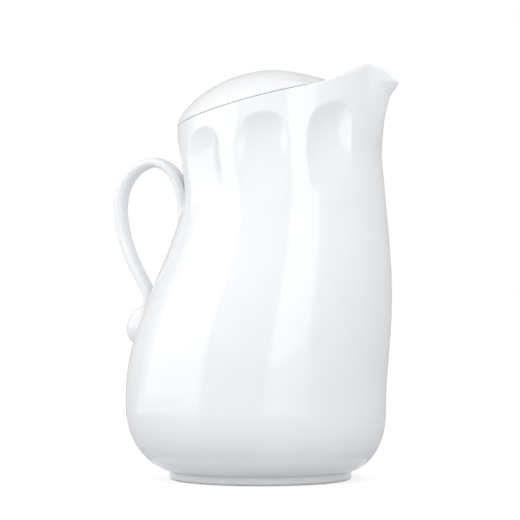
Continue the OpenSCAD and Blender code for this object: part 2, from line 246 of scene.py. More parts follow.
EDGE_FADE = (-0.4, 0.1)  # over which the rounded edge of a flute comes in, 0 is its outline
FLARE_STEADY = 1.2  # power of the part of the flare that grows steadily with height
FLARE_LATE = 7  # power of the part that grows close under the tip
LATE_SHARE = 0.4  # share of that late part
BEAK_SHARP = (2, 1.3)  # power of the beak's section where the flare starts and at its tip
LIP_CLIMB = 1.2  # power at which the lip climbs to the shoulders
DIP_SHARP = 1.5  # power of the dip between the shoulders
RIM_ROUNDS = 4  # rounds in which the height of the rim settles

# Upright lines of the wall's mesh: over a flute, over half a rib as shares of it, and over the
# bay of the spout, where they crowd toward the beak
FLUTE_LINES = 26
RIB_SHARES = np.array([0.25, 0.5, 0.75])
SPOUT_LINES = 61
SPOUT_CROWD = 1.3

# Rows of the wall's mesh inside, from the floor to the rim; the outside has a multiple of them
BELLY_ROWS = 16
SIDE_ROWS = 26
FLUTE_ROWS = 18
BAND_ROWS = 11
OUTSIDE_FINE = 2
TILT_FROM = 0.4  # share of the seat's height from which the rows tilt with the seat
ARCH_CROWD = 1.5  # power at which the rows crowd toward the arches
RIM_CROWD = 0.9  # power at which they crowd toward the rim


def mix(a, b, t):
    return a + (b - a) * t


def span(v, low, high):
    return np.clip((v - low) / (high - low), 0, 1)


def ease(t):
    return t * t * (3 - 2 * t)


def fold(phi):
    """Angle away from the spout, either way round"""
    return np.abs((phi + pi) % (2 * pi) - pi)


class Wall:
    """The wall of the jug: where its skin lies at any direction and height

    A direction is an angle from the spout. Skin is the depth below the outer skin: 0 outside, and
    the thickness of the wall inside.
    """

    def __init__(self, scene):
        sizes, foot = scene.jug_wall, scene.jug_foot
        spout, flutes = scene.jug_spout, scene.jug_flutes
        self.sizes, self.foot, self.spout, self.flutes = sizes, foot, spout, flutes
        self.crease_r = foot.radius + foot.step
        self.floor_r = foot.radius - foot.width
        self.floor_z = foot.height + sizes.floor_t
        self.under_r = self.floor_r - foot.step
        self.slope = tan(sizes.seat_slope)
        tip_x = sizes.rim_lean + sizes.rim_r + spout.reach
        self.tip_z = self.plane_z(tip_x) + spout.lip_rise - spout.drop
        self.pitch = (2 * pi - flutes.spout_bay) / (flutes.bays - 1)
        self.flute_half = self.pitch * flutes.width_share / 2
        self.flute_foot = sizes.seat_h - flutes.land - flutes.length_down

    def barrel_r(self, z, skin=0.0):
        """Radius of the plain pear round its leaning axis"""
        sizes = self.sizes
        low_z, low_r = self.foot.height, self.crease_r
        if skin > 0:
            low_z, low_r = self.floor_z, self.floor_r
        t = 1 - span(z, low_z, sizes.belly_z)
        low = mix(low_r, sizes.belly_r - skin, (1 - t**sizes.belly_fill) ** sizes.belly_start)
        t = ease(span(z, sizes.belly_z + sizes.belly_band, sizes.neck_z) ** sizes.neck_skew)
        middle = mix(sizes.belly_r, sizes.neck_r, t) - skin
        top = mix(sizes.neck_r, sizes.rim_r, ease(span(z, sizes.neck_z, sizes.seat_h))) - skin
        return np.where(z < sizes.belly_z, low, np.where(z < sizes.neck_z, middle, top))

    def lean(self, z):
        """Shift of the axis toward the spout"""
        sizes = self.sizes
        low = sizes.belly_lean * (1 - (1 - span(z, self.foot.height, sizes.belly_z)) ** 2)
        t = ease(span(z, sizes.belly_z, sizes.neck_lean_z))
        middle = mix(sizes.belly_lean, sizes.neck_lean, t)
        t = ease(span(z, sizes.neck_lean_z, sizes.rim_lean_z))
        top = mix(sizes.neck_lean, sizes.rim_lean, t)
        return np.where(z < sizes.belly_z, low, np.where(z < sizes.neck_lean_z, middle, top))

    def plane_z(self, x):
        """Height of the slanted seat"""
        return self.sizes.seat_h + self.slope * x

    def bay(self, phi):
        """Number of the bay, 0 at the spout and the same on both sides"""
        side = self.flutes.spout_bay / 2
        k = 1 + np.floor((fold(phi) - side) / self.pitch)
        return np.where(fold(phi) < side, 0, np.minimum(k, (self.flutes.bays - 1) // 2))

    def bay_middle(self, k):
        return np.where(k == 0, 0, self.flutes.spout_bay / 2 + (k - 0.5) * self.pitch)

    def across(self, phi):
        """Distance from the middle of the bay, 1 at the side of its flute"""
        return np.abs(fold(phi) - self.bay_middle(self.bay(phi))) / self.flute_half

    def land(self, phi):
        """Height of the plain band above the arches, taller toward the spout"""
        flutes = self.flutes
        near = ease(span(fold(phi), flutes.lower_from, flutes.spout_bay / 2))
        return flutes.land + flutes.lower * near

    def flute(self, phi, z, skin=0.0):
        """Depth of the flutes, with their edges rounded over"""
        flutes = self.flutes
        depth = flutes.depth * (flutes.inside if skin > 0 else 1)
        drop = self.rim_z(phi) - z - self.land(phi)
        above = np.maximum(1 - drop / flutes.arch, 0)
        within = 1 - (self.across(phi) ** flutes.square + above**2)
        whole = ease(span(within, *EDGE_FADE))
        soft = (within + np.sqrt(within**2 + flutes.softness**2)) / 2 * whole
        fade = 1 - ease(span(drop, flutes.arch, flutes.length_down))
        return np.where(self.bay(phi) == 0, 0, depth * soft**flutes.fullness * fade)

    def beak(self, phi, half):
        """Section of the beak, 1 on its ridge and running out softly past its half angle"""
        blunt, soft = self.spout.blunt, self.spout.edge
        away = np.hypot(fold(phi), blunt) - blunt
        left = 1 - away / half
        return (left + np.hypot(left, soft)) / (1 + np.hypot(1, soft))

    def flare(self, phi, z):
        """How far the spout flares out of the pear"""
        spout = self.spout
        t = span(z, spout.start, self.tip_z)
        half = mix(spout.root_half, spout.half, t)
        grown = mix(t**FLARE_STEADY, t**FLARE_LATE, LATE_SHARE)
        return spout.reach * grown * self.beak(phi, half) ** mix(*BEAK_SHARP, t)

    def plain_r(self, phi, z, skin=0.0):
        return self.barrel_r(z, skin) + self.flare(phi, z)

    def skin_r(self, phi, z, skin=0.0):
        return self.plain_r(phi, z, skin) - self.flute(phi, z, skin)

    def rise(self, phi):
        """Height of the rim over the seat: it climbs to the shoulders and dips to the tip"""
        spout = self.spout
        away = fold(phi) - spout.half
        climb = spout.lip_from - spout.half
        t = span(climb - (away + np.hypot(away, spout.shoulder)) / 2, 0, climb)
        dip = spout.drop * self.beak(phi, spout.half) ** DIP_SHARP
        return spout.lip_rise * t**LIP_CLIMB - dip

    def rim_z(self, phi):
        """Height of the rim, in rounds because its place and its height depend on each other"""
        z = np.full_like(phi, self.sizes.seat_h)
        for _ in range(RIM_ROUNDS):
            x = self.lean(z) + self.plain_r(phi, z) * np.cos(phi)
            z = self.plane_z(x) + self.rise(phi)
        return z

    def polar(self, r, phi, z):
        return np.stack([self.lean(z) + r * np.cos(phi), r * np.sin(phi), z + 0 * phi], -1)

    def rim_point(self, phi, inset, below):
        """Points at a distance in from the outside of the rim and below its top"""
        z = self.rim_z(phi) - below
        r = self.plain_r(phi, z) - inset
        x = self.lean(z) + r * np.cos(phi)
        return np.stack([x, r * np.sin(phi), self.plane_z(x) + self.rise(phi) - below], -1)

    def round_at(self, phi):
        """Rounding of the rim, larger on the spout"""
        start, end = self.spout.lip_from, self.spout.half
        return mix(self.sizes.rim_round, self.sizes.lip_round, ease(span(fold(phi), start, end)))

    def back_x(self, z, y):
        """Outer skin of the back, as x over y and z"""
        phi = pi - np.arcsin(np.clip(np.abs(y) / self.barrel_r(z), 0, 1))
        r = self.skin_r(phi, z)
        return self.lean(z) - np.sqrt(np.maximum(r * r - y * y, 0))

    def directions(self):
        """Directions of the upright mesh lines, close together along the edges of the flutes"""
        bays = self.flutes.bays
        flute = np.sin(np.linspace(-pi / 2, pi / 2, FLUTE_LINES)) * self.flute_half
        rib = self.pitch / 2 - self.flute_half
        t = np.linspace(-1, 1, SPOUT_LINES)
        parts = [np.sign(t) * np.abs(t) ** SPOUT_CROWD * self.flutes.spout_bay / 2]
        for k in range(1, bays):
            middle = float(self.bay_middle(k))
            parts.append(middle - self.flute_half - rib * RIB_SHARES[::-1])
            parts.append(middle + flute)
            parts.append(middle + self.flute_half + rib * RIB_SHARES)
            if k < bays - 1:
                parts.append([middle + self.flute_half + rib])
        return np.concatenate(parts)

    def rows(self, phi, skin, fine):
        """Points of the wall from the foot or floor up to the rim, row by row

        The rows are level in the belly, tilt with the seat over it, and then follow the arches of
        the flutes and the rise of the lip.
        """
        sizes, flutes = self.sizes, self.flutes
        land = self.land(phi)
        rows = []
        low = self.floor_z if skin > 0 else self.foot.height
        n = BELLY_ROWS * fine
        for i in range(n):
            z = mix(low, sizes.belly_z, 1 - cos(pi / 2 * i / n)) * np.ones_like(phi)
            rows.append(self.polar(self.barrel_r(z, skin), phi, z))
        tilt = self.rim_z(phi) - self.rise(phi) - sizes.seat_h + flutes.land - land
        n = SIDE_ROWS * fine
        for i in range(n):
            level = mix(sizes.belly_z, self.flute_foot, i / n)
            z = level + ease(span(level, sizes.seat_h * TILT_FROM, self.flute_foot)) * tilt
            rows.append(self.polar(self.skin_r(phi, z, skin), phi, z))
        arch = flutes.arch * (1 - np.sqrt(1 - np.minimum(self.across(phi) ** flutes.square, 1)))
        n = FLUTE_ROWS * fine
        for i in range(n):
            drop = mix(arch, flutes.length_down, (1 - i / n) ** ARCH_CROWD)
            settle = ease(span(drop, flutes.arch, flutes.length_down))
            z = self.rim_z(phi) - settle * self.rise(phi) - drop - land
            rows.append(self.polar(self.skin_r(phi, z, skin), phi, z))
        round_at = self.round_at(phi)
        n = BAND_ROWS * fine
        for i in range(n + 1):
            below = mix(arch + land, round_at, (i / n) ** RIM_CROWD)
            z = self.rim_z(phi) - below
            upright = self.polar(self.skin_r(phi, z, skin), phi, z)
            leaning = self.rim_point(phi, skin + self.flute(phi, z, skin), below)
            near = ease(span(below, flutes.land, flutes.land / 2))[:, None]
            rows.append(mix(upright, leaning, near))
        return rows


# Shaping helpers

MERGE = 2e-6  # points of a mesh closer than this become one
TINY_EDGE = 1e-7  # edges shorter than this are dissolved


def deselect():
    bpy.ops.object.select_all(action="DESELECT")


def name_piece(name):
    piece = bpy.context.object
    piece.name = name
    piece.data.name = name
    return piece


def mark_points(piece, name, values):
    """Gives every point of a piece a value that its material reads"""
    layer = piece.data.attributes.new(name, "FLOAT", "POINT")
    layer.data.foreach_set("value", np.asarray(values, np.float32))


def pole(point, columns):
    """A row drawn together to one point"""
    return np.repeat(np.asarray(point, float)[None, :], columns, 0)


def capped(points):
    """Rows of points with a pole before the first and after the last, in the middle of each"""
    first, last = points[0].mean(0), points[-1].mean(0)
    columns = points.shape[1]
    return np.array([pole(first, columns), *points, pole(last, columns)])


def disc(phi, radius, z):
    """A level round row about the axis of the foot"""
    return np.stack([radius * np.cos(phi), radius * np.sin(phi), np.full_like(phi, z)], -1)


def wrapped(name, points, pool_and_shade):
    """A grid wrapped through rows of points, closed round and poled at both ends"""
    rows, columns = points.shape[:2]
    deselect()
    bpy.ops.mesh.primitive_grid_add(x_subdivisions=columns, y_subdivisions=rows - 1, size=1)
    piece = name_piece(name)
    mesh = piece.data
    flat = np.zeros(len(mesh.vertices) * 3)
    mesh.vertices.foreach_get("co", flat)
    flat = flat.reshape(-1, 3)
    column = np.rint((flat[:, 0] + 0.5) * columns).astype(int) % columns
    row = np.rint((flat[:, 1] + 0.5) * (rows - 1)).astype(int)
    mesh.vertices.foreach_set("co", points[row, column].ravel())
    # The pool attribute carries glaze pooling and painted shade for the material
    mark_points(piece, "pool_and_shade", pool_and_shade[row, column])
    bpy.ops.object.mode_set(mode="EDIT")
    bpy.ops.mesh.select_all(action="SELECT")
    bpy.ops.mesh.remove_doubles(threshold=MERGE)
    bpy.ops.mesh.dissolve_degenerate(threshold=TINY_EDGE)
    bpy.ops.mesh.normals_make_consistent(inside=False)
    bpy.ops.object.mode_set(mode="OBJECT")
    return piece


def finished(piece, body, node, material, smooth=50):
    """Smooth shading, material, and the place of the piece in the frame"""
    deselect()
    piece.select_set(True)
    bpy.context.view_layer.objects.active = piece
    bpy.ops.object.shade_smooth_by_angle(angle=radians(smooth))
    piece.data.materials.clear()
    piece.data.materials.append(material)
    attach(piece, body)
    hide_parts(node)


# Materials

# Patches of each pattern in a metre
WAVES = 22
CLOUDS = 60
PEEL = 500
GRAIN = 1500
STAINS = 90
WANDER = 140
FLOOR_CLOUDS = 40

FLOOR_SHADE = 0.985  # brightness of the floor in its darker clouds
FLOOR_ROUGHNESS = 0.6
WHITE = (1, 1, 1, 1)


class Nodes:
    """Adds and links the nodes of a material, a light or the world"""

    def __init__(self, owner):
        owner.use_nodes = True
        self.tree = owner.node_tree
        self.tree.nodes.clear()

    def add(self, kind, sockets=None, **settings):
        """A node with its settings; a socket is linked to an output or set to a value"""
        node = self.tree.nodes.new(kind)
        for key, value in settings.items():
            setattr(node, key, value)
        for key, value in (sockets or {}).items():
            if hasattr(value, "is_output"):
                self.tree.links.new(value, node.inputs[key])
            else:
                node.inputs[key].default_value = value
        return node

    def maths(self, operation, *values):
        sockets = dict(enumerate(values))
        return self.add("ShaderNodeMath", sockets, operation=operation).outputs["Value"]

    def noise(self, place, scale, detail=2.0, rough=0.5):
        sockets = {"Vector": place, "Scale": scale, "Detail": detail, "Roughness": rough}
        return self.add("ShaderNodeTexNoise", sockets).outputs["Fac"]

    def ranged(self, value, source, target, **settings):
        """Takes a value from one range to another, each given by its two ends"""
        ends = zip(("From Min", "From Max", "To Min", "To Max"), (*source, *target))
        sockets = {"Value": value, **dict(ends)}
        return self.add("ShaderNodeMapRange", sockets, **settings).outputs["Result"]

    def blend(self, factor, first, second):
        """Blends two colours"""
        sockets = {"Factor": factor, "A": (*first, 1), "B": (*second, 1)}
        return self.add("ShaderNodeMix", sockets, data_type="RGBA").outputs["Result"]

    def bump(self, height, distance, strength, normal=None):
        sockets = {"Height": height, "Distance": distance, "Strength": strength}
        if normal is not None:
            sockets["Normal"] = normal
        return self.add("ShaderNodeBump", sockets).outputs["Normal"]


def glaze_shader(n, finish):
    """White glaze: slow waves and fine orange peel, a cooler, darker tone where it pools, which also
    paints shade into recesses, joints and undersides
    """
    place = n.add("ShaderNodeTexCoord").outputs["Object"]
    cloud = n.noise(place, CLOUDS, detail=3)
    pool_and_shade = n.add("ShaderNodeAttribute", attribute_name="pool_and_shade").outputs["Fac"]
    # Random glaze thickness plus the pool attribute: glaze pooling together with painted shade
    thick = n.maths("ADD", n.ranged(cloud, (0.35, 0.7), (0, 0.2)), pool_and_shade)
    smooth, dull = finish.roughness * 0.7, finish.roughness * 1.5
    waves = n.bump(n.noise(place, WAVES, detail=1.5), finish.ripple, strength=0.35)
    sockets = {
        "Base Color": n.blend(thick, finish.glaze, finish.pooled_and_shaded),
        "Roughness": n.ranged(cloud, (0.3, 0.75), (smooth, dull)),
        "Normal": n.bump(n.noise(place, PEEL, detail=1), finish.peel, 0.15, waves),
        "IOR": finish.glaze_ior,
    }
    return n.add("ShaderNodeBsdfPrincipled", sockets).outputs["BSDF"]


def bare_shader(n, finish):
    """Unglazed porcelain: fine grain and a few faint stains"""
    place = n.add("ShaderNodeTexCoord").outputs["Object"]
    grain = n.noise(place, GRAIN, detail=4, rough=0.7)
    stain = n.ranged(n.noise(place, STAINS, detail=3), (0.35, 0.7), (0, 1))
    stained = [finish.stain * c for c in finish.bisque]
    sockets = {
        "Base Color": n.blend(stain, finish.bisque, stained),
        "Roughness": n.ranged(grain, (0.3, 0.7), (0.6, 0.85)),
        "Normal": n.bump(grain, finish.grain, strength=0.6),
        "IOR": finish.bare_ior,
    }
    return n.add("ShaderNodeBsdfPrincipled", sockets).outputs["BSDF"]


def white_glaze(finish):
    """The glaze that all glazed pieces share, made the first time that one needs it"""
    glaze = bpy.data.materials.get("white_glaze")
    if not glaze:
        glaze = bpy.data.materials.new("white_glaze")
        n = Nodes(glaze)
        n.add("ShaderNodeOutputMaterial", {"Surface": glaze_shader(n, finish)})
    return glaze


def foot_finish(finish, foot):
    """Glazed sides over a bare, slightly stained standing edge"""
    both = bpy.data.materials.new("foot_finish")
    n = Nodes(both)
    place = n.add("ShaderNodeTexCoord").outputs["Object"]
    height = n.add("ShaderNodeSeparateXYZ", {"Vector": place}).outputs["Z"]
    uneven = n.maths("MULTIPLY_ADD", n.noise(place, WANDER), finish.wander, height)
    glazed = n.ranged(uneven, (foot.bare, foot.bare + finish.glaze_end), (0, 1))
    sockets = {0: glazed, 1: bare_shader(n, finish), 2: glaze_shader(n, finish)}
    surface = n.add("ShaderNodeMixShader", sockets).outputs["Shader"]
    n.add("ShaderNodeOutputMaterial", {"Surface": surface})
    return both


def seen_directly(n):
    """1 for rays from the camera, from gloss and through glass, 0 for all others"""
    ray = n.add("ShaderNodeLightPath").outputs
    either = n.maths("MAXIMUM", ray["Is Camera Ray"], ray["Is Glossy Ray"])
    return n.maths("MAXIMUM", either, ray["Is Transmission Ray"])


def pale_floor(stage):
    """Pale floor that keeps the shadow of the jug and runs out into white round it"""
    floor = bpy.data.materials.new("pale_floor")
    n = Nodes(floor)
    place = n.add("ShaderNodeTexCoord").outputs["Object"]
    clouded = [FLOOR_SHADE * c for c in stage.floor]
    tone = n.blend(n.noise(place, FLOOR_CLOUDS, detail=3), stage.floor, clouded)
    plain = n.add("ShaderNodeBsdfPrincipled", {"Base Color": tone, "Roughness": FLOOR_ROUGHNESS})
    strength = n.ranged(seen_directly(n), (0, 1), (0, stage.floor_lift))
    lift = n.add("ShaderNodeEmission", {"Strength": strength})
    sockets = {0: plain.outputs["BSDF"], 1: lift.outputs["Emission"]}
    surface = n.add("ShaderNodeAddShader", sockets).outputs["Shader"]
    n.add("ShaderNodeOutputMaterial", {"Surface": surface})
    return floor


def flag_tone(name, tone):
    """Dark studio flag, seen only as the quiet tone between the soft boxes in the gloss"""
    flag = bpy.data.materials.new(name)
    n = Nodes(flag)
    cover = n.add("ShaderNodeAttribute", attribute_name="cover").outputs["Fac"]
    glow = n.add("ShaderNodeEmission", {"Strength": n.ranged(cover, (0, 1), (1, tone))})
    n.add("ShaderNodeOutputMaterial", {"Surface": glow.outputs["Emission"]})
    return flag


def white_studio(fill):
    """White where it is seen directly, and a weaker fill for all other light"""
    world = bpy.data.worlds.new("white_studio")
    n = Nodes(world)
    strength = n.ranged(seen_directly(n), (0, 1), (fill, 1))
    sky = n.add("ShaderNodeBackground", {"Color": WHITE, "Strength": strength})
    n.add("ShaderNodeOutputWorld", {"Surface": sky.outputs["Background"]})
    return world


# Pieces

# How thick the glaze pools, as a share of the thickest; its darker tone is also painted shade in the
# flutes, under the belly, on the foot, at the joints and under the lid
POOL_AND_SHADE_FLUTES = 0.3
POOL_AND_SHADE_UNDER = 0.4
POOL_AND_SHADE_FOOT = 1
POOL_AND_SHADE_JOINTS = 0.5
POOL_AND_SHADE_LID = 0.3

UNDER_ROWS = 8  # rows of the underside
FLOOR_RINGS = (0.8, 0.6, 0.4, 0.2)  # rings of the floor inside, as shares of its radius
RIM_ROWS = 6  # rows over each quarter round of the rim


class JUG_OT_body(Operator):
    """Cast body: floor, belly, fluted neck, lid seat and spout in one wall"""

    bl_idname = "jug.body"
    bl_label = "Body"

    def execute(self, context):
        scene = context.scene
        wall = Wall(scene)
        foot, thick = wall.foot, wall.sizes.wall
        phi = wall.directions()
        rows = [pole((0, 0, foot.height + foot.under_rise), len(phi))]
        for i in range(1, UNDER_ROWS + 1):
            s = i / UNDER_ROWS
            rows.append(disc(phi, wall.under_r * s, foot.height + foot.under_rise * (1 - s * s)))
        rows += wall.rows(phi, 0.0, OUTSIDE_FINE)
        r = wall.round_at(phi)
        quarter = [pi / 2 * i / RIM_ROWS for i in range(RIM_ROWS + 1)]
        rows += [wall.rim_point(phi, r * (1 - cos(a)), r * (1 - sin(a))) for a in quarter[1:]]
        rows.append(wall.rim_point(phi, thick / 2 + 0 * r, 0))
        rows += [wall.rim_point(phi, thick - r * (1 - sin(a)), r * (1 - cos(a))) for a in quarter]
        rows += wall.rows(phi, thick, 1)[-2::-1]
        rows += [disc(phi, wall.floor_r * s, wall.floor_z) for s in FLOOR_RINGS]
        rows.append(pole((0, 0, wall.floor_z), len(phi)))
        points = np.array(rows)
        # The flutes and the underside get the darker pooled tone: glaze pooling and painted shade
        carved = wall.flute(np.tile(phi, len(rows)), points[..., 2].ravel())
        pool_and_shade = POOL_AND_SHADE_FLUTES * carved.reshape(points.shape[:2]) / wall.flutes.depth
        pool_and_shade[: UNDER_ROWS + 1] = POOL_AND_SHADE_UNDER
        piece = wrapped("body_shell", points, pool_and_shade)
        finished(piece, "jug", "jug_body", white_glaze(scene.jug_finish))
        return {"FINISHED"}


FOOT_BEVEL = 8  # faces over the rounding of a standing edge
FOOT_TURN = 240  # faces round the ring
FOOT_MERGE = 5e-6  # points closer than this become one where the turned ring closes


class JUG_OT_foot(Operator):
    """Foot ring: a rounded section spun round the axis, its standing edge left bare"""

    bl_idname = "jug.foot"
    bl_label = "Foot ring"

    def execute(self, context):
        finish, foot = context.scene.jug_finish, context.scene.jug_foot
        middle = (foot.radius - foot.width / 2, 0, foot.height / 2)
        deselect()
        bpy.ops.mesh.primitive_plane_add(size=1, location=middle, rotation=(pi / 2, 0, 0))
        piece = name_piece("foot_ring_turned")
        piece.scale = (foot.width, foot.height, 1)
        bpy.ops.object.transform_apply(location=True, rotation=True, scale=True)
        bpy.ops.object.mode_set(mode="EDIT")
        mesh = bmesh.from_edit_mesh(piece.data)
        for v in mesh.verts:
            v.select = v.co.z < foot.height / 2
        mesh.select_flush_mode()
        bpy.ops.mesh.bevel(offset=foot.edge, segments=FOOT_BEVEL, affect="VERTICES")
        bpy.ops.mesh.select_all(action="SELECT")
        bpy.ops.mesh.spin(steps=FOOT_TURN, angle=2 * pi, center=(0, 0, 0), axis=(0, 0, 1))
        bpy.ops.mesh.select_all(action="SELECT")
        bpy.ops.mesh.remove_doubles(threshold=FOOT_MERGE)
        # The section that was spun stays as a face inside the ring, the only one with many corners
        mesh = bmesh.from_edit_mesh(piece.data)
        section = [face for face in mesh.faces if len(face.verts) > 4]
        bmesh.ops.delete(mesh, geom=section, context="FACES_ONLY")
        bmesh.update_edit_mesh(piece.data)
        bpy.ops.mesh.select_all(action="SELECT")
        bpy.ops.mesh.normals_make_consistent(inside=False)
        bpy.ops.object.mode_set(mode="OBJECT")
        # The whole foot ring gets the full pooled tone: glaze pooling and painted shade low on the jug
        mark_points(piece, "pool_and_shade", np.full(len(piece.data.vertices), POOL_AND_SHADE_FOOT))
        finished(piece, "jug", "foot_ring", foot_finish(finish, foot), smooth=35)
        return {"FINISHED"}


SLOPE_STEP = 0.001  # distance over which the slope of the wall is measured


def out_of_wall(wall, p):
    """Distance of points from the back of the wall, below zero inside it"""
    x = wall.back_x(p[..., 2], p[..., 1])
    up = (wall.back_x(p[..., 2] + SLOPE_STEP, p[..., 1]) - x) / SLOPE_STEP
    side = (wall.back_x(p[..., 2], np.abs(p[..., 1]) + SLOPE_STEP) - x) / SLOPE_STEP
    return (x - p[..., 0]) / np.sqrt(1 + up**2 + side**2)


def swell(distance, radius):
    """How far a root swells at a distance from the wall, so that it runs into it in a round"""
    h = np.clip(distance, 0, radius)
    return radius - np.sqrt(np.maximum(radius**2 - (radius - h) ** 2, 0))


def kept_in_wall(wall, p, deepest):
    """Points that go no deeper into the wall than its thickness allows"""
    p[..., 0] = np.minimum(p[..., 0], wall.back_x(p[..., 2], p[..., 1]) + deepest)
    return p


def joint_pool_and_shade(wall, p, fillet):
    """How thick the glaze pools on a piece that is stuck to the wall, its darker tone painted shade in
    the joint
    """
    return POOL_AND_SHADE_JOINTS * (swell(out_of_wall(wall, p), fillet) / fillet)


def signed_power(v, power):
    return np.sign(v) * np.abs(v) ** power


def spline(nodes, steps):
    """A curve from the first node to the last that rounds off the ones between

    It is a uniform cubic B-spline. Gives its points, and how far along the curve each lies.
    """
    last = len(nodes) - 1
    nodes = np.concatenate([[2 * nodes[0] - nodes[1]], nodes, [2 * nodes[-1] - nodes[-2]]])
    u = np.linspace(0, last, last * steps + 1)
    i = np.minimum(u.astype(int), last - 1)
    t = (u - i)[:, None]
    v = 1 - t
    points = (
        nodes[i] * v**3
        + nodes[i + 1] * (4 - 6 * t * t + 3 * t**3)
        + nodes[i + 2] * (4 - 6 * v * v + 3 * v**3)
        + nodes[i + 3] * t**3
    ) / 6
    return points, u / last


# Nodes of the strap from its upper root round to its lower one, as shares of its height and of its
# reach from the wall
STRAP_UP = (0.43, 0.57, 0.72, 0.85, 0.97, 1.02, 0.96, 0.85, 0.71, 0.57, 0.42, 0.28, 0.16, 0.08, 0)
STRAP_OUT = (-0.07, -0.03, 0.03, 0.09, 0.21, 0.47, 0.76, 0.96, 1.03, 0.95, 0.77, 0.53, 0.28, 0.11, 0.07)
STRAP_STEPS = 12  # rows from node to node
STRAP_ROUND = 56  # points round the section
STRAP_SQUARE = 2.6  # squareness of the section, 2 is an ellipse
STRAP_TAIL = 6  # rows that run on into the wall at the lower root
TAIL_LENGTH = 0.006  # how far they run on
STRAP_DEEPEST = 0.0016  # how deep the roots may lie in the wall
SWELL_ROUND = 1.5  # power by which a root swells more the more squarely a side faces out


class JUG_OT_handle(Operator):
    """Ear-shaped strap, its roots stuck to the wall with a soft round of slip"""

    bl_idname = "jug.handle"
    bl_label = "Handle"

    def execute(self, context):
        scene = context.scene
        wall, handle = Wall(scene), scene.jug_handle
        z = mix(handle.low, handle.top, np.array(STRAP_UP))
        x = wall.back_x(z, np.zeros_like(z)) - handle.reach * np.array(STRAP_OUT)
        middle, along = spline(np.stack([x, z], -1), STRAP_STEPS)
        end = middle[-1] - middle[-2]
        end = end / np.linalg.norm(end)
        tail = [middle[-1] + end * TAIL_LENGTH * k / STRAP_TAIL for k in range(1, STRAP_TAIL + 1)]
        middle = np.concatenate([middle, tail])
        along = np.concatenate([along, np.ones(STRAP_TAIL)])
        heading = np.gradient(middle, axis=0)
        heading /= np.linalg.norm(heading, axis=1)[:, None]
        out = np.stack([heading[:, 1], -heading[:, 0]], -1)
        a = np.linspace(0, 2 * pi, STRAP_ROUND, endpoint=False)
        half = mix(handle.width, handle.low_width, along) / 2
        wide = signed_power(np.sin(a), 2 / STRAP_SQUARE)
        thick = signed_power(np.cos(a), 2 / STRAP_SQUARE) * handle.thickness / 2
        points = np.zeros((len(middle), len(a), 3))
        points[..., 0] = middle[:, None, 0] + out[:, None, 0] * thick
        points[..., 1] = half[:, None] * wide
        points[..., 2] = middle[:, None, 1] + out[:, None, 1] * thick
        push = swell(out_of_wall(wall, points), handle.fillet)
        outward = push * signed_power(np.cos(a), SWELL_ROUND)
        points[..., 0] += outward * out[:, None, 0]
        points[..., 1] += push * signed_power(wide, SWELL_ROUND)
        points[..., 2] += outward * out[:, None, 1]
        points = capped(kept_in_wall(wall, points, STRAP_DEEPEST))
        # The roots of the strap get the darker pooled tone: glaze pooling and painted shade in the
        # joint
        piece = wrapped("strap_handle", points, joint_pool_and_shade(wall, points, handle.fillet))
        finished(piece, "jug", "handle", white_glaze(scene.jug_finish), smooth=70)
        return {"FINISHED"}


BUTTON_ROUND = 72  # points round the button
BUTTON_ROWS = 28  # rows from its top to the wall
BUTTON_DOME = 0.8  # power of its section, 1 is an ellipse
BUTTON_FILLET = 0.8  # its fillet as a share of the handle's
BUTTON_DEEPEST = 0.0006  # how deep the foot of its fillet may lie in the wall
BASE_DEPTH = 0.002  # how far its base goes on below the fillet
BASE_DEEPEST = 0.0014  # how deep its base may lie in the wall


class JUG_OT_button(Operator):
    """Oval button pressed onto the wall below the strap"""

    bl_idname = "jug.button"
    bl_label = "Button"

    def execute(self, context):
        scene = context.scene
        wall, handle = Wall(scene), scene.jug_handle
        heights = handle.button_z + SLOPE_STEP * np.array([-1, 0, 1])
        below, x, above = wall.back_x(heights, np.zeros(3))
        middle = np.array([x, 0, handle.button_z])
        up = np.array([above - below, 0, 2 * SLOPE_STEP])
        up /= np.linalg.norm(up)
        side = np.array([0, 1, 0])
        out = np.array([-up[2], 0, up[0]])
        a = np.linspace(0, 2 * pi, BUTTON_ROUND, endpoint=False)
        rows = []
        for t in np.linspace(0, pi / 2, BUTTON_ROWS):
            along = (handle.button_l / 2 * sin(t) * np.cos(a))[:, None]
            across = (handle.button_w / 2 * sin(t) * np.sin(a))[:, None]
            height = handle.button_proud * cos(t) ** BUTTON_DOME
            rows.append(middle + up * along + side * across + out * height)
        points = np.array(rows)
        push = swell(out_of_wall(wall, points), handle.fillet * BUTTON_FILLET)
        points += push[..., None] * (up * np.cos(a)[:, None] + side * np.sin(a)[:, None])
        points = kept_in_wall(wall, points, BUTTON_DEEPEST)
        base = kept_in_wall(wall, points[-1] - out * BASE_DEPTH, BASE_DEEPEST)
        top, bottom = points[0].mean(0), base.mean(0)
        points = np.array([pole(top, len(a)), *points[1:], base, pole(bottom, len(a))])[::-1]
        # The fillet of the button gets the darker pooled tone: glaze pooling and painted shade in the
        # joint
        piece = wrapped("oval_button", points, joint_pool_and_shade(wall, points, handle.fillet))
        finished(piece, "jug", "handle_button", white_glaze(scene.jug_finish), smooth=70)
        return {"FINISHED"}


LID_SQUARE = 2.6  # squareness of the tucked edge of the lid, 2 is an ellipse
DOME_POWERS = (0.65, 1.2)  # powers of the dome's section toward the handle and the spout


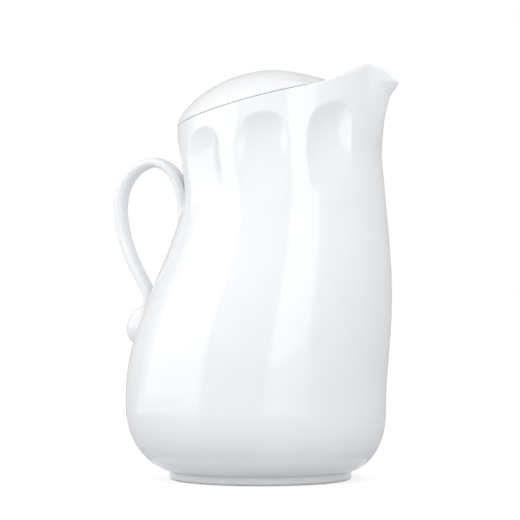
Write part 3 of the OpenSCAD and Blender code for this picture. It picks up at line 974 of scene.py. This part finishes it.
class Lid:
    """The lid: its outline round the middle of the mouth and the height of its dome

    Way is how far a point lies from the top of the dome, 0, to the edge, 1.
    """

    def __init__(self, scene):
        self.wall, self.sizes = Wall(scene), scene.jug_lid
        self.mouth = self.wall.sizes
        self.apex_x = self.mouth.rim_lean - self.sizes.apex_back

    def outline(self, phi, way):
        """Edge of the lid, tucked inside the raised wall at the front; the tuck fades up the dome"""
        mouth, sizes, a = self.mouth, self.sizes, fold(phi)
        side = mouth.rim_r - mouth.wall - sizes.clear
        front = mouth.rim_r - mouth.wall - sizes.pour_gap
        c = np.abs(np.cos(a)) / front
        inside = (c**LID_SQUARE + (np.sin(a) / side) ** LID_SQUARE) ** (-1 / LID_SQUARE)
        inside = np.where(a < pi / 2, inside, side)
        flush = self.wall.plain_r(phi, self.wall.rim_z(phi))
        start = self.wall.spout.lip_from
        spread = (1 - way) * sizes.tuck_fade
        return mix(inside, flush, ease(span(a, start - spread / 2, start + sizes.tuck + spread)))

    def dome_h(self, way, phi, height):
        power = mix(*DOME_POWERS, (1 + np.cos(phi)) / 2)
        return height * (1 - way * way) ** power

    def ring(self, phi, way, inset, height, lift):
        """A row of the lid at one way, set in from its outline and lifted off its seat"""
        r = self.outline(phi, way) - inset
        x = mix(self.apex_x, self.mouth.rim_lean + r * np.cos(phi), way)
        z = self.wall.plane_z(x) + self.sizes.gap + lift + self.dome_h(way, phi, height)
        return np.stack([x, way * r * np.sin(phi), z], -1)

    def hollow_z(self, x, y):
        """Height of the hollow over a point of the mouth"""
        r, back = self.mouth.rim_r - self.sizes.wall, self.sizes.apex_back
        ahead = x - self.apex_x
        k = r * r - back * back
        d = ahead * back
        way = np.minimum((np.sqrt(d * d + k * (ahead * ahead + y * y)) - d) / k, 1)
        phi = np.arctan2(y, ahead - way * back)
        height = self.dome_h(way, phi, self.sizes.rise - self.sizes.wall)
        return self.wall.plane_z(x) + self.sizes.gap + height


FRONT_LINES = 30  # lines of half the lid from its front to the tuck
TUCK_LINES = 14  # lines over the tuck
BACK_LINES = 74  # lines from the tuck to the back
TUCK_AHEAD = radians(2)  # angle before the tuck that has no lines
HOLLOW_ROWS = 24  # rows of the hollow
SEAT_ROWS = 4  # rows of the flat face that lies over the seat
CORNER_ROWS = 4  # rows over the corner between that face and the edge
CORNER = 0.0004  # radius of that corner
DOME_ROWS = 44  # rows of the dome


class JUG_OT_lid(Operator):
    """Domed lid, hollow below, flush with the wall at the back and sides"""

    bl_idname = "jug.lid"
    bl_label = "Lid"

    def execute(self, context):
        scene = context.scene
        lid = Lid(scene)
        sizes, start = lid.sizes, lid.wall.spout.lip_from
        half = np.concatenate(
            [
                np.linspace(0, start - TUCK_AHEAD, FRONT_LINES),
                np.linspace(start, start + sizes.tuck, TUCK_LINES),
                np.linspace(start + sizes.tuck, pi, BACK_LINES)[1:],
            ]
        )
        phi = np.concatenate([half, 2 * pi - half[-2:0:-1]])
        inner_rise, outer_rise = sizes.rise - sizes.wall, sizes.rise - sizes.edge
        rows = [pole(lid.ring(np.zeros(1), 0, sizes.wall, inner_rise, 0)[0], len(phi))]
        for i in range(1, HOLLOW_ROWS + 1):
            rows.append(lid.ring(phi, sin(pi / 2 * i / HOLLOW_ROWS), sizes.wall, inner_rise, 0))
        for i in range(1, SEAT_ROWS + 1):
            rows.append(lid.ring(phi, 1, mix(sizes.wall, CORNER, i / SEAT_ROWS), 0, 0))
        for i in range(1, CORNER_ROWS + 1):
            a = pi / 2 * i / CORNER_ROWS
            rows.append(lid.ring(phi, 1, CORNER * (1 - sin(a)), 0, CORNER * (1 - cos(a))))
        for i in range(DOME_ROWS):
            rows.append(lid.ring(phi, cos(pi / 2 * i / DOME_ROWS), 0, outer_rise, sizes.edge))
        rows.append(pole(lid.ring(np.zeros(1), 0, 0, outer_rise, sizes.edge)[0], len(phi)))
        points = np.array(rows)
        # The hollow under the lid gets the darker pooled tone: painted shade underneath, with glaze
        # pooling
        pool_and_shade = np.zeros(points.shape[:2])
        pool_and_shade[: HOLLOW_ROWS + 1] = POOL_AND_SHADE_LID
        piece = wrapped("lid_shell", points, pool_and_shade)
        finished(piece, "lid", "lid_dome", white_glaze(scene.jug_finish), smooth=60)
        return {"FINISHED"}


COLLAR_STATIONS = 130  # sections along the collar
END_STATIONS = 7  # sections of each rounded end
END_SKIP = 3  # sections of the collar that a rounded end takes the place of
END_FIRST = 0.08  # angle of the first section of a rounded end, so that it has some width
EDGE_POINTS = 9  # points over the rounded lower edge
TOP_POINTS = 5  # points over the top
COLLAR_SHORT = 0.0001  # how far the top stops below the hollow


class JUG_OT_collar(Operator):
    """Locating collar under the lid, open toward the spout"""

    bl_idname = "jug.collar"
    bl_label = "Collar"

    def execute(self, context):
        scene = context.scene
        lid = Lid(scene)
        sizes, mouth, flutes = lid.sizes, lid.mouth, lid.wall.flutes
        outer = mouth.neck_r - mouth.wall - flutes.depth * flutes.inside - sizes.collar_clear
        half_t = sizes.collar_t / 2
        middle_r = outer - half_t
        cap = half_t / middle_r
        arc = np.linspace(sizes.collar_open, 2 * pi - sizes.collar_open, COLLAR_STATIONS)
        first, last = arc[0] + cap, arc[-1] - cap
        ends = np.linspace(END_FIRST, pi / 2, END_STATIONS)
        stations = [(first - cap * cos(t), sin(t)) for t in ends]
        stations += [(phi, 1.0) for phi in np.clip(arc, first, last)[END_SKIP:-END_SKIP]]
        stations += [(last + cap * cos(t), sin(t)) for t in ends[::-1]]
        rows = []
        for phi, fat in stations:
            row = []
            for t in np.linspace(0, pi, EDGE_POINTS):
                r = middle_r + half_t * fat * cos(t)
                x, y = mouth.rim_lean + r * cos(phi), r * sin(phi)
                seat = lid.wall.plane_z(x) + sizes.gap
                row.append((x, y, seat - sizes.collar_depth + half_t * (1 - sin(t))))
            for t in np.linspace(-1, 1, TOP_POINTS):
                r = middle_r + half_t * fat * t
                x, y = mouth.rim_lean + r * cos(phi), r * sin(phi)
                row.append((x, y, lid.hollow_z(x, y) - COLLAR_SHORT))
            rows.append(row)
        points = capped(np.array(rows))
        # The collar under the lid gets the darker pooled tone: painted shade underneath, with glaze
        # pooling
        piece = wrapped("lid_collar_ring", points, np.full(points.shape[:2], POOL_AND_SHADE_LID))
        finished(piece, "lid", "lid_collar", white_glaze(scene.jug_finish), smooth=60)
        return {"FINISHED"}


# Stage, in metres, degrees and watts


class Lamp(NamedTuple):
    """A rectangular soft light"""

    name: str
    turn: float  # angle from the camera, anticlockwise seen from above
    far: float  # distance from the axis of the jug
    high: float  # height of its middle
    aim: float  # height on the axis to which it is turned
    wide: float
    tall: float
    power: float
    fade: float = 0  # share of its width over which each side fades out
    spread: float = 180  # angle over which it sends its light
    in_gloss: bool = True  # whether the gloss shows it


LAMPS = (
    Lamp("soft_left", turn=-80, far=1.2, high=1, aim=1, wide=1.4, tall=2, power=8.2, fade=0.12),
    Lamp("soft_right", turn=24.5, far=1.3, high=1, aim=1, wide=0.7, tall=2, power=5.3, fade=0.12),
    Lamp("soft_top", turn=0, far=0.9, high=1.7, aim=0.1, wide=0.5, tall=0.2, power=1.2),
    Lamp(
        "soft_front",
        turn=0,
        far=0.9,
        high=0.1,
        aim=0.185,
        wide=0.2,
        tall=0.2,
        power=0.045,
        spread=36,
        in_gloss=False,
    ),
)


class Flag(NamedTuple):
    """A dark flag round the jug, seen in the gloss alone"""

    name: str
    first: float  # angle from the camera at which it begins, anticlockwise seen from above
    last: float  # angle at which it ends
    tone: float  # how bright it looks, 1 is white


FLAGS = (
    Flag("front_flag", first=-48, last=6, tone=0.5),
    Flag("back_flag", first=43, last=238, tone=0.62),
)
FLAG_TALL = 4
FLAG_LIFT = 0.001  # height of their cover over the floor
FLAG_FAR = 1.7  # distance of the upright flags from the axis
FLAG_NEAR = 0.3  # within this distance the cover has no openings
FLAG_CLOSE = 0.06  # the cover ends here, close round the foot
FLAG_SIDES = 180  # faces all round
SOFT_END = 8  # angle over which an end of a flag fades into white

SENSOR = 36  # width of the camera's sensor in millimetres
FAR_CLIP = 50  # distance beyond which the camera sees nothing


def place_at(turn, far, high):
    """A place at an angle from the near side of the jug toward the spout"""
    return Vector((far * sin(turn), -far * cos(turn), high))


def turn_to(thing, target):
    """Turns a lamp or a camera to a target"""
    thing.rotation_euler = (target - thing.location).to_track_quat("-Z", "Y").to_euler()


def soft_sides(light, fade):
    """Lets the light fade out at its left and right sides, over a share of its width"""
    n = Nodes(light)
    place = n.add("ShaderNodeNewGeometry").outputs["Parametric"]
    across = n.add("ShaderNodeSeparateXYZ", {"Vector": place}).outputs["X"]
    from_side = n.maths("PINGPONG", across, 0.5)
    level = n.ranged(from_side, (0, fade), (0, 1), interpolation_type="SMOOTHSTEP")
    glow = n.add("ShaderNodeEmission", {"Strength": level})
    n.add("ShaderNodeOutputLight", {"Surface": glow.outputs["Emission"]})


def hang(lamp, camera_turn):
    """Hangs a lamp; soft sides make it wider and stronger by as much, so its light is the same"""
    light = bpy.data.lights.new(lamp.name, "AREA")
    light.shape = "RECTANGLE"
    light.size, light.size_y = lamp.wide / (1 - lamp.fade), lamp.tall
    light.energy = lamp.power / (1 - lamp.fade)
    light.spread = radians(lamp.spread)
    if lamp.fade:
        soft_sides(light, lamp.fade)
    hung = bpy.data.objects.new(lamp.name, light)
    hung.location = place_at(camera_turn + radians(lamp.turn), lamp.far, lamp.high)
    turn_to(hung, Vector((0, 0, lamp.aim)))
    hung.visible_glossy = lamp.in_gloss
    bpy.context.scene.collection.objects.link(hung)


def dark_flags(camera_turn):
    """Sets up the flags round the jug and their cover on the table, open toward the soft boxes"""
    deselect()
    bpy.ops.mesh.primitive_circle_add(
        vertices=FLAG_SIDES, radius=FLAG_FAR, location=(0, 0, FLAG_LIFT)
    )
    flags = name_piece("studio_flags")
    bpy.ops.object.transform_apply()
    bpy.ops.object.mode_set(mode="EDIT")
    bpy.ops.mesh.extrude_region_move(TRANSFORM_OT_translate={"value": (0, 0, FLAG_TALL)})
    mesh = bmesh.from_edit_mesh(flags.data)
    for v in mesh.verts:
        v.select = v.co.z < FLAG_TALL / 2
    mesh.select_flush_mode()
    for outer, inner in ((FLAG_FAR, FLAG_NEAR), (FLAG_NEAR, FLAG_CLOSE)):
        bpy.ops.mesh.extrude_region_move()
        shrink = (inner / outer, inner / outer, 1)
        bpy.ops.transform.resize(value=shrink, center_override=(0, 0, 0))
    mesh = bmesh.from_edit_mesh(flags.data)
    for face in mesh.faces:
        x, y = face.calc_center_median().xy
        at = np.degrees(np.arctan2(x, -y) - camera_turn) % 360
        inside = [(at - flag.first) % 360 < flag.last - flag.first for flag in FLAGS]
        face.select = not any(inside) and hypot(x, y) > FLAG_NEAR
        face.material_index = 0 if inside[0] else 1
    bpy.ops.mesh.delete(type="FACE")
    bpy.ops.object.mode_set(mode="OBJECT")
    cover = []
    for v in flags.data.vertices:
        at = np.degrees(np.arctan2(v.co.x, -v.co.y) - camera_turn)
        edge = max(min((at - flag.first) % 360, (flag.last - at) % 360) for flag in FLAGS)
        near = hypot(v.co.x, v.co.y) < (FLAG_NEAR + FLAG_FAR) / 2
        cover.append(1 if near else ease(span(edge, 0, SOFT_END)))
    mark_points(flags, "cover", cover)
    for flag in FLAGS:
        flags.data.materials.append(flag_tone(flag.name, flag.tone))
    flags.visible_camera = flags.visible_diffuse = flags.visible_shadow = False


def photo_camera(stage):
    """The camera, at the photograph's viewing angle"""
    camera = bpy.data.objects.new("photo_camera", bpy.data.cameras.new("photo_camera"))
    camera.data.lens, camera.data.sensor_width = stage.lens, SENSOR
    camera.data.clip_end = FAR_CLIP
    turn, left = stage.camera_turn, stage.camera_left
    camera.location = place_at(turn, stage.camera_far, stage.camera_h)
    turn_to(camera, Vector((-left * cos(turn), -left * sin(turn), stage.camera_aim)))
    return camera


class JUG_OT_stage(Operator):
    """Pale floor, soft lights, white surroundings and the camera"""

    bl_idname = "jug.stage"
    bl_label = "Stage"

    def execute(self, context):
        scene, stage = context.scene, context.scene.jug_stage
        deselect()
        bpy.ops.mesh.primitive_plane_add(size=stage.floor_wide)
        floor = name_piece("studio_floor")
        floor.data.materials.append(pale_floor(stage))
        for lamp in LAMPS:
            hang(lamp, stage.camera_turn)
        dark_flags(stage.camera_turn)
        scene.world = white_studio(stage.fill)
        camera = photo_camera(stage)
        scene.collection.objects.link(camera)
        scene.camera = camera
        scene.view_settings.view_transform = "Standard"
        return {"FINISHED"}


STEPS = (
    JUG_OT_body,
    JUG_OT_foot,
    JUG_OT_handle,
    JUG_OT_button,
    JUG_OT_lid,
    JUG_OT_collar,
    JUG_OT_stage,
)


class JUG_PT_panel(Panel):
    """Sizes and steps of the milk jug"""

    bl_idname = "JUG_PT_panel"
    bl_label = "Milk jug"
    bl_space_type = "VIEW_3D"
    bl_region_type = "UI"
    bl_category = "Milk jug"

    def draw(self, context):
        for step in STEPS:
            self.layout.operator(step.bl_idname)
        for group, sizes in GROUPS.items():
            box = self.layout.box()
            box.label(text=sizes.__doc__)
            for key in sizes.__annotations__:
                box.prop(getattr(context.scene, group), key)


def register():
    for cls in (*GROUPS.values(), *STEPS, JUG_PT_panel):
        bpy.utils.register_class(cls)
    for key, cls in GROUPS.items():
        setattr(bpy.types.Scene, key, PointerProperty(type=cls))


def unregister():
    for key in GROUPS:
        delattr(bpy.types.Scene, key)
    for cls in reversed((*GROUPS.values(), *STEPS, JUG_PT_panel)):
        bpy.utils.unregister_class(cls)


def main():
    register()
    bpy.ops.jug.body()
    bpy.ops.jug.foot()
    bpy.ops.jug.handle()
    bpy.ops.jug.button()
    bpy.ops.jug.lid()
    bpy.ops.jug.collar()
    bpy.ops.jug.stage()


if __name__ == "__main__":
    main()
